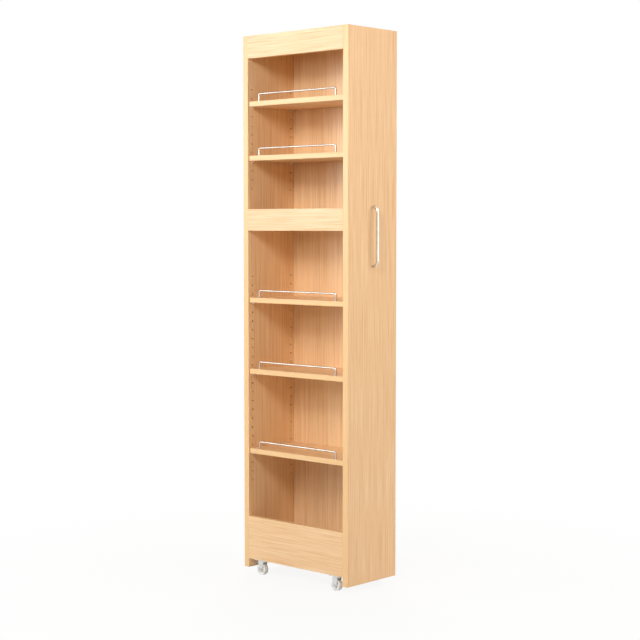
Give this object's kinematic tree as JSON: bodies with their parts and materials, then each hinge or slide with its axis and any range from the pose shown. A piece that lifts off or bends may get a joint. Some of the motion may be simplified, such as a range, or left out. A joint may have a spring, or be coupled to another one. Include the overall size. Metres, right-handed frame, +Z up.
{
  "type": "slim rolling shelf",
  "caption": "Tall, narrow rolling shelf in light wood grain: open on one long side, with wire guards on its movable shelves, front rails, a bar handle on one end and small fixed casters.",
  "frame": {"origin": "on the floor, at the centre of the overall box (case and handle)", "axes": "+Z up, +X to the narrow end with the handle, -Y out of the open long side"},
  "size_m": [0.4118, 0.2, 1.509],
  "materials": {
    "panel_board": "satin wood-grain sheet on particle board, grain upright",
    "back_board": "satin wood-grain sheet on thin fibre board, grain upright",
    "fixed_board": "satin wood-grain sheet, grain along the board",
    "rail_board": "satin wood-grain sheet, grain along the rail",
    "shelf_board": "satin wood-grain sheet with a pale edge strip",
    "dowel_wood": "bare beech",
    "guard_wire": "bright plated wire",
    "handle_metal": "bright plated bar",
    "pin_metal": "nickel-plated",
    "caster_sheet": "zinc-plated pressed sheet",
    "zinc_steel": "zinc-plated",
    "wheel_plastic": "white moulded nylon"
  },
  "bodies": {
    "case": {"back_panel": "back_board", "bottom_board": "fixed_board", "bottom_rail": "rail_board", "cam_bolts": "zinc_steel", "cam_locks": "zinc_steel", "caster_axle_front_back_side": "zinc_steel", "caster_axle_front_open_side": "zinc_steel", "caster_axle_rear_back_side": "zinc_steel", "caster_axle_rear_open_side": "zinc_steel", "caster_bracket_front_back_side": "caster_sheet", "caster_bracket_front_open_side": "caster_sheet", "caster_bracket_rear_back_side": "caster_sheet", "caster_bracket_rear_open_side": "caster_sheet", "caster_screws": "zinc_steel", "fixed_shelf": "fixed_board", "front_end_panel": "panel_board", "handle_screws": "zinc_steel", "middle_rail": "rail_board", "panel_dowels": "dowel_wood", "pull_handle": "handle_metal", "rail_dowels": "dowel_wood", "rear_end_panel": "panel_board", "shelf_1_pins": "pin_metal", "shelf_2_pins": "pin_metal", "shelf_3_pins": "pin_metal", "shelf_4_pins": "pin_metal", "shelf_5_pins": "pin_metal", "top_board": "fixed_board", "top_rail": "rail_board"},
    "shelf_1_body": {"shelf_1": "shelf_board", "shelf_1_guard": "guard_wire"},
    "shelf_2_body": {"shelf_2": "shelf_board", "shelf_2_guard": "guard_wire"},
    "shelf_3_body": {"shelf_3": "shelf_board", "shelf_3_guard": "guard_wire"},
    "shelf_4_body": {"shelf_4": "shelf_board", "shelf_4_guard": "guard_wire"},
    "shelf_5_body": {"shelf_5": "shelf_board", "shelf_5_guard": "guard_wire"},
    "wheel_front_open_side": {"caster_wheel_front_open_side": "wheel_plastic"},
    "wheel_front_back_side": {"caster_wheel_front_back_side": "wheel_plastic"},
    "wheel_rear_open_side": {"caster_wheel_rear_open_side": "wheel_plastic"},
    "wheel_rear_back_side": {"caster_wheel_rear_back_side": "wheel_plastic"}
  },
  "joints": [
    {"name": "shelf_1_lift", "type": "slide", "parent": "case", "child": "shelf_1_body", "axis": [0, 0, 1], "range_m": [0, 0.095]},
    {"name": "shelf_2_lift", "type": "slide", "parent": "case", "child": "shelf_2_body", "axis": [0, 0, 1], "range_m": [0, 0.112]},
    {"name": "shelf_3_lift", "type": "slide", "parent": "case", "child": "shelf_3_body", "axis": [0, 0, 1], "range_m": [0, 0.163]},
    {"name": "shelf_4_lift", "type": "slide", "parent": "case", "child": "shelf_4_body", "axis": [0, 0, 1], "range_m": [0, 0.162]},
    {"name": "shelf_5_lift", "type": "slide", "parent": "case", "child": "shelf_5_body", "axis": [0, 0, 1], "range_m": [0, 0.187]},
    {"name": "wheel_front_open_side_roll", "type": "hinge", "parent": "case", "child": "wheel_front_open_side", "pos_m": [0.1296, -0.0815, 0.016], "axis": [0, 1, 0], "continuous": true},
    {"name": "wheel_front_back_side_roll", "type": "hinge", "parent": "case", "child": "wheel_front_back_side", "pos_m": [0.1296, 0.0815, 0.016], "axis": [0, 1, 0], "continuous": true},
    {"name": "wheel_rear_open_side_roll", "type": "hinge", "parent": "case", "child": "wheel_rear_open_side", "pos_m": [-0.1514, -0.0815, 0.016], "axis": [0, 1, 0], "continuous": true},
    {"name": "wheel_rear_back_side_roll", "type": "hinge", "parent": "case", "child": "wheel_rear_back_side", "pos_m": [-0.1514, 0.0815, 0.016], "axis": [0, 1, 0], "continuous": true}
  ]
}
